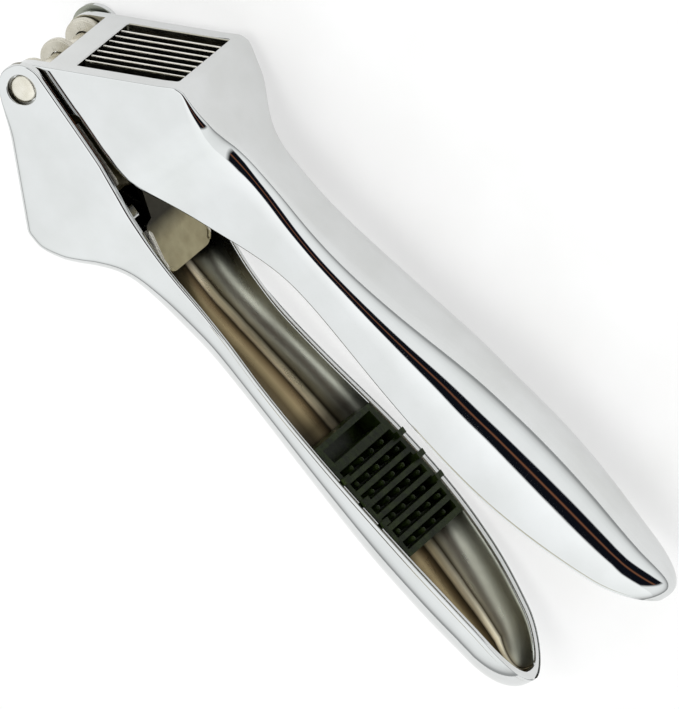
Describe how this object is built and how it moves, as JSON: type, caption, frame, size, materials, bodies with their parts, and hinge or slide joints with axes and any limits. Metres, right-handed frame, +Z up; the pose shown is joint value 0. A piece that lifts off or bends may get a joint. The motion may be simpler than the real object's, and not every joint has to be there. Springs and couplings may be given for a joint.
{
  "type": "garlic press",
  "caption": "Chromed hand garlic press and slicer with long trough handles, a bladed window, a sieve, a swinging plunger between them and a clip-in cleaning pad.",
  "frame": {"origin": "under the middle of the closed press's bounding box, on the table it lies on", "axes": "+X from the hinge towards the handle tips, +Y from the mincing handle towards the slicing handle, +Z up along the hinge rivet"},
  "size_m": [0.186, 0.0826, 0.0396],
  "materials": {
    "chrome": "polished chrome plate on a zinc casting",
    "satin_nickel": "satin nickel plate",
    "stainless": "bright rolled stainless sheet",
    "olive_plastic": "moulded dark olive polypropylene"
  },
  "bodies": {
    "mincing_body": {"mincer_handle": "chrome", "sieve_plate": "stainless", "hinge_rivet": "satin_nickel"},
    "slicing_body": {"slicer_handle": "chrome", "blade_frame": "stainless", "slicing_blade_1": "stainless", "slicing_blade_2": "stainless", "slicing_blade_3": "stainless", "slicing_blade_4": "stainless", "slicing_blade_5": "stainless", "slicing_blade_6": "stainless", "slicing_blade_7": "stainless"},
    "plunger_body": {"plunger": "satin_nickel"},
    "cleaner_body": {"cleaning_pad": "olive_plastic"}
  },
  "joints": [
    {"name": "handle_hinge", "type": "hinge", "parent": "mincing_body", "child": "slicing_body", "pos_m": [-0.08684, -0.01827, 0.0198], "axis": [0, 0, 1], "range_deg": [0, 110]},
    {"name": "plunger_hinge", "type": "hinge", "parent": "mincing_body", "child": "plunger_body", "pos_m": [-0.08684, -0.01827, 0.0198], "axis": [0, 0, 1], "range_deg": [0, 55]},
    {"name": "cleaner_lift", "type": "slide", "parent": "mincing_body", "child": "cleaner_body", "axis": [0, 1, 0], "range_m": [0, 0.012]}
  ],
  "couplings": [
    {"joint": "plunger_hinge", "follows": "handle_hinge", "ratio": 0.5}
  ]
}
